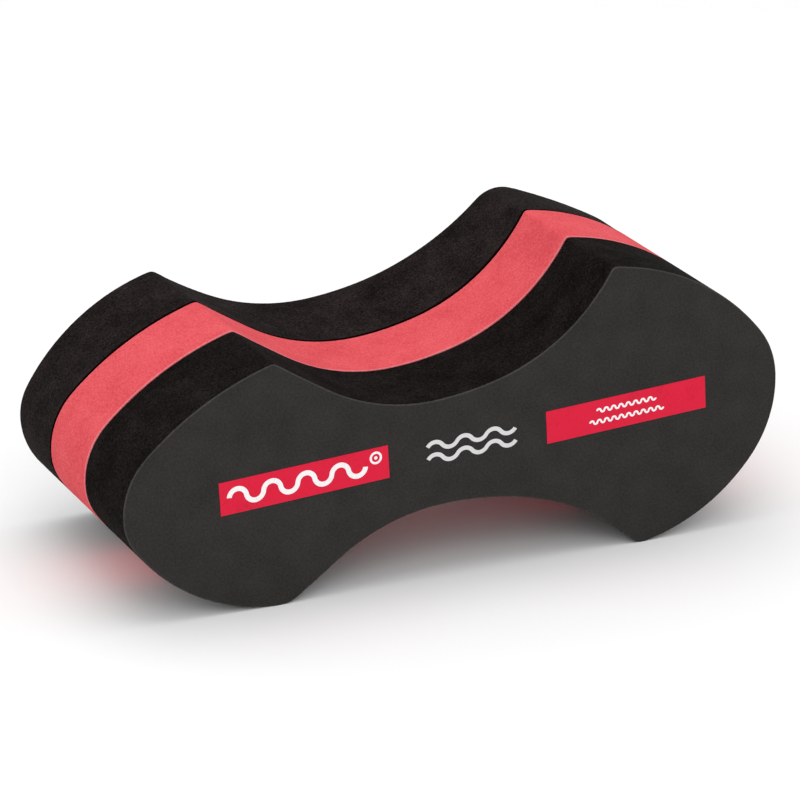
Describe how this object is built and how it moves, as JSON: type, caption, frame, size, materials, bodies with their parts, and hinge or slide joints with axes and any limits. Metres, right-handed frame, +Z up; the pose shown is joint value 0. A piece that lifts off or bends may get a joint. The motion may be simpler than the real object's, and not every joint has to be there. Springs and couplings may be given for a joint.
{
  "type": "pull buoy",
  "caption": "Dog-bone foam block of glued slabs with a larger and a smaller lobe, held between a swimmer's thighs at its waist to float the legs.",
  "frame": {"origin": "centre of the bottom of the bounding box, on the surface the block stands on", "axes": "+X along the length towards the larger lobe, +Y to the unprinted rear face, +Z up"},
  "size_m": [0.2796, 0.1192, 0.1178],
  "materials": {
    "front_foam": "matte closed-cell foam, charcoal",
    "red_foam": "matte closed-cell foam, coral red",
    "rear_foam": "matte closed-cell foam, black",
    "glue": "cured contact adhesive",
    "crimson_ink": "satin printed ink",
    "white_ink": "satin printed ink",
    "silver_ink": "satin metallic printed ink"
  },
  "bodies": {
    "root": {"front_foam_layer": "front_foam", "middle_foam_layer": "red_foam", "rear_foam_layer": "rear_foam", "front_glue_film": "glue", "rear_glue_film": "glue", "left_print_panel": "crimson_ink", "left_print_waves": "white_ink", "centre_print_mark": "silver_ink", "right_print_panel": "crimson_ink", "right_print_waves": "white_ink"}
  },
  "joints": []
}
